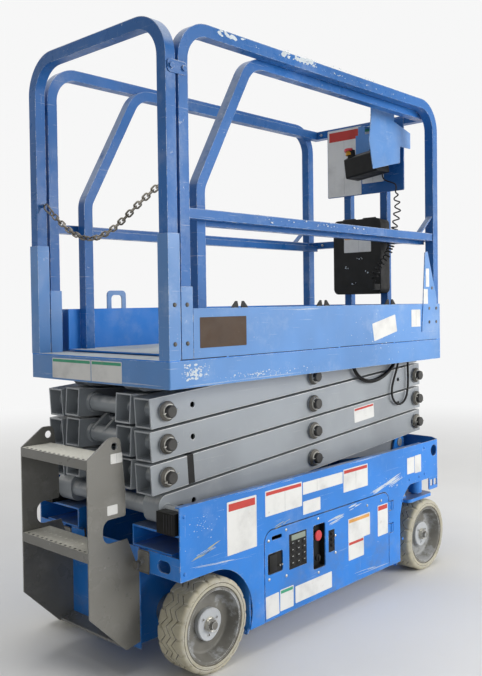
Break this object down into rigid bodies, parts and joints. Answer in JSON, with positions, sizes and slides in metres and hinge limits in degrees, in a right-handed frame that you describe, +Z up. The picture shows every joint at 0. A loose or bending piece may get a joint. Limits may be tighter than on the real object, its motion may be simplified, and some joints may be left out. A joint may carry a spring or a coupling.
{
  "type": "electric scissor lift",
  "caption": "Self-propelled slab scissor lift, stowed: steerable four-wheel chassis, stacked crossed arms and a railed platform with a sliding extension deck.",
  "frame": {"origin": "on the floor under the middle of the machine's length and width", "axes": "+X towards the steered wheels, +Y to the left, +Z up"},
  "size_m": [1.8175, 0.773, 2.078],
  "materials": {
    "battery_case": "moulded",
    "black_plastic": "moulded",
    "blue_paint": "gloss, worn",
    "cord_rubber": "matte",
    "grey_paint": "satin, worn",
    "rim_paint": "satin, worn",
    "rod_chrome": "polished",
    "steel": "bare",
    "tyre": "matte, scuffed"
  },
  "bodies": {
    "chassis": {"chassis_webs": "blue_paint", "slide_channels": "blue_paint", "end_walls": "blue_paint", "side_plate_right": "blue_paint", "side_plate_left": "blue_paint", "front_wrap": "blue_paint", "kingpin_brackets": "blue_paint", "pin_brackets": "blue_paint", "ladder": "grey_paint", "rear_axle": "steel"},
    "tray_right": {"tray_door_right": "blue_paint", "hydraulic_unit": "black_plastic", "ground_controls": "black_plastic"},
    "tray_left": {"tray_door_left": "blue_paint", "battery_pack": "battery_case"},
    "guard_right": {"pothole_guard_right": "blue_paint"},
    "guard_left": {"pothole_guard_left": "blue_paint"},
    "wheel_rear_right": {"rear_right_tyre": "tyre", "rear_right_rim": "rim_paint"},
    "wheel_rear_left": {"rear_left_tyre": "tyre", "rear_left_rim": "rim_paint"},
    "wheel_front_right": {"front_right_tyre": "tyre", "front_right_rim": "rim_paint"},
    "wheel_front_left": {"front_left_tyre": "tyre", "front_left_rim": "rim_paint"},
    "yoke_right": {"yoke_right": "blue_paint"},
    "yoke_left": {"yoke_left": "blue_paint"},
    "tie_rod": {"tie_rod": "steel"},
    "arm1_inner": {"arm1_inner": "grey_paint"},
    "arm1_outer": {"arm1_outer": "grey_paint"},
    "arm2_inner": {"arm2_inner": "grey_paint"},
    "arm2_outer": {"arm2_outer": "grey_paint"},
    "arm3_inner": {"arm3_inner": "grey_paint"},
    "arm3_outer": {"arm3_outer": "grey_paint"},
    "arm4_inner": {"arm4_inner": "grey_paint"},
    "arm4_outer": {"arm4_outer": "grey_paint"},
    "slide_blocks_low": {"slide_blocks_low": "black_plastic"},
    "slide_blocks_high": {"slide_blocks_high": "black_plastic"},
    "lift_barrel": {"lift_barrel": "grey_paint"},
    "lift_rod": {"lift_rod": "rod_chrome"},
    "platform": {"main_deck": "blue_paint", "platform_skirt": "blue_paint", "platform_bearers": "blue_paint", "toe_panels": "blue_paint", "side_rail_right": "blue_paint", "side_rail_left": "blue_paint", "entry_arch": "blue_paint", "rail_sockets": "blue_paint", "entry_chain": "steel", "platform_cable": "cord_rubber", "platform_hose": "cord_rubber"},
    "extension": {"extension_deck": "blue_paint", "extension_rails": "blue_paint", "extension_front_frame": "blue_paint", "placard_board": "blue_paint", "control_guard": "blue_paint", "control_box": "black_plastic", "manual_box": "black_plastic", "coiled_cord": "cord_rubber", "control_lead": "cord_rubber"}
  },
  "joints": [
    {"name": "rear_right_roll", "type": "hinge", "parent": "chassis", "child": "wheel_rear_right", "pos_m": [-0.56, -0.324, 0.1525], "axis": [0, 1, 0], "continuous": true},
    {"name": "rear_left_roll", "type": "hinge", "parent": "chassis", "child": "wheel_rear_left", "pos_m": [-0.56, 0.324, 0.1525], "axis": [0, 1, 0], "continuous": true},
    {"name": "steer", "type": "hinge", "parent": "chassis", "child": "yoke_right", "pos_m": [0.76, -0.324, 0.3], "axis": [0, 0, 1], "range_deg": [-60, 60]},
    {"name": "steer_left", "type": "hinge", "parent": "chassis", "child": "yoke_left", "pos_m": [0.76, 0.324, 0.3], "axis": [0, 0, 1], "range_deg": [-60, 60]},
    {"name": "tie_rod_swing", "type": "hinge", "parent": "yoke_right", "child": "tie_rod", "pos_m": [0.64, -0.324, 0.345], "axis": [0, 0, 1], "range_deg": [-60, 60]},
    {"name": "front_right_roll", "type": "hinge", "parent": "yoke_right", "child": "wheel_front_right", "pos_m": [0.76, -0.324, 0.1525], "axis": [0, 1, 0], "continuous": true},
    {"name": "front_left_roll", "type": "hinge", "parent": "yoke_left", "child": "wheel_front_left", "pos_m": [0.76, 0.324, 0.1525], "axis": [0, 1, 0], "continuous": true},
    {"name": "tray_right_swing", "type": "hinge", "parent": "chassis", "child": "tray_right", "pos_m": [0.478, -0.3785, 0.25], "axis": [0, 0, 1], "range_deg": [0, 90]},
    {"name": "tray_left_swing", "type": "hinge", "parent": "chassis", "child": "tray_left", "pos_m": [0.478, 0.3785, 0.25], "axis": [0, 0, -1], "range_deg": [0, 90]},
    {"name": "guard_right_drop", "type": "hinge", "parent": "chassis", "child": "guard_right", "pos_m": [0.075, -0.35, 0.078], "axis": [-1, 0, 0], "range_deg": [0, 90]},
    {"name": "guard_left_drop", "type": "hinge", "parent": "chassis", "child": "guard_left", "pos_m": [0.075, 0.35, 0.078], "axis": [1, 0, 0], "range_deg": [0, 90]},
    {"name": "lift", "type": "hinge", "parent": "chassis", "child": "arm1_inner", "pos_m": [0.846, 0, 0.531], "axis": [0, 1, 0], "range_deg": [0, 55.2]},
    {"name": "arm1_outer_pin", "type": "hinge", "parent": "arm1_inner", "child": "arm1_outer", "pos_m": [0.091, 0, 0.5835], "axis": [0, -1, 0], "range_deg": [0, 110.41]},
    {"name": "arm2_inner_pin", "type": "hinge", "parent": "arm1_outer", "child": "arm2_inner", "pos_m": [0.846, 0, 0.636], "axis": [0, 1, 0], "range_deg": [0, 110.41]},
    {"name": "arm2_outer_pin", "type": "hinge", "parent": "arm2_inner", "child": "arm2_outer", "pos_m": [0.091, 0, 0.6885], "axis": [0, -1, 0], "range_deg": [0, 110.41]},
    {"name": "arm3_inner_pin", "type": "hinge", "parent": "arm2_outer", "child": "arm3_inner", "pos_m": [0.846, 0, 0.741], "axis": [0, 1, 0], "range_deg": [0, 110.41]},
    {"name": "arm3_outer_pin", "type": "hinge", "parent": "arm3_inner", "child": "arm3_outer", "pos_m": [0.091, 0, 0.7935], "axis": [0, -1, 0], "range_deg": [0, 110.41]},
    {"name": "arm4_inner_pin", "type": "hinge", "parent": "arm3_outer", "child": "arm4_inner", "pos_m": [0.846, 0, 0.846], "axis": [0, 1, 0], "range_deg": [0, 110.41]},
    {"name": "arm4_outer_pin", "type": "hinge", "parent": "arm4_inner", "child": "arm4_outer", "pos_m": [0.091, 0, 0.8985], "axis": [0, -1, 0], "range_deg": [0, 110.41]},
    {"name": "platform_pin", "type": "hinge", "parent": "arm4_outer", "child": "platform", "pos_m": [0.846, 0, 0.951], "axis": [0, 1, 0], "range_deg": [0, 55.21]},
    {"name": "low_block_pin", "type": "hinge", "parent": "arm1_outer", "child": "slide_blocks_low", "pos_m": [-0.664, 0, 0.531], "axis": [0, 1, 0], "range_deg": [0, 55.21]},
    {"name": "high_block_pin", "type": "hinge", "parent": "arm4_inner", "child": "slide_blocks_high", "pos_m": [-0.664, 0, 0.951], "axis": [0, -1, 0], "range_deg": [0, 55.21]},
    {"name": "cylinder_base_pin", "type": "hinge", "parent": "chassis", "child": "lift_barrel", "pos_m": [0.7, 0.045, 0.545], "axis": [0, 1, 0], "range_deg": [0, 67.22]},
    {"name": "cylinder_stroke", "type": "slide", "parent": "lift_barrel", "child": "lift_rod", "axis": [-0.9833, 0, 0.1822], "range_m": [0, 1.29677]},
    {"name": "extension_slide", "type": "slide", "parent": "platform", "child": "extension", "axis": [1, 0, 0], "range_m": [0, 0.91]}
  ],
  "couplings": [
    {"joint": "steer_left", "follows": "steer", "ratio": 1},
    {"joint": "tie_rod_swing", "follows": "steer", "ratio": -1},
    {"joint": "arm1_outer_pin", "follows": "lift", "ratio": 2},
    {"joint": "arm2_inner_pin", "follows": "lift", "ratio": 2},
    {"joint": "arm2_outer_pin", "follows": "lift", "ratio": 2},
    {"joint": "arm3_inner_pin", "follows": "lift", "ratio": 2},
    {"joint": "arm3_outer_pin", "follows": "lift", "ratio": 2},
    {"joint": "arm4_inner_pin", "follows": "lift", "ratio": 2},
    {"joint": "arm4_outer_pin", "follows": "lift", "ratio": 2},
    {"joint": "platform_pin", "follows": "lift", "ratio": 1},
    {"joint": "low_block_pin", "follows": "lift", "ratio": 1},
    {"joint": "high_block_pin", "follows": "lift", "ratio": 1},
    {"joint": "cylinder_base_pin", "follows": "lift", "ratio": 1.2176},
    {"joint": "cylinder_stroke", "follows": "lift", "m_per_rad": 1.3455}
  ]
}
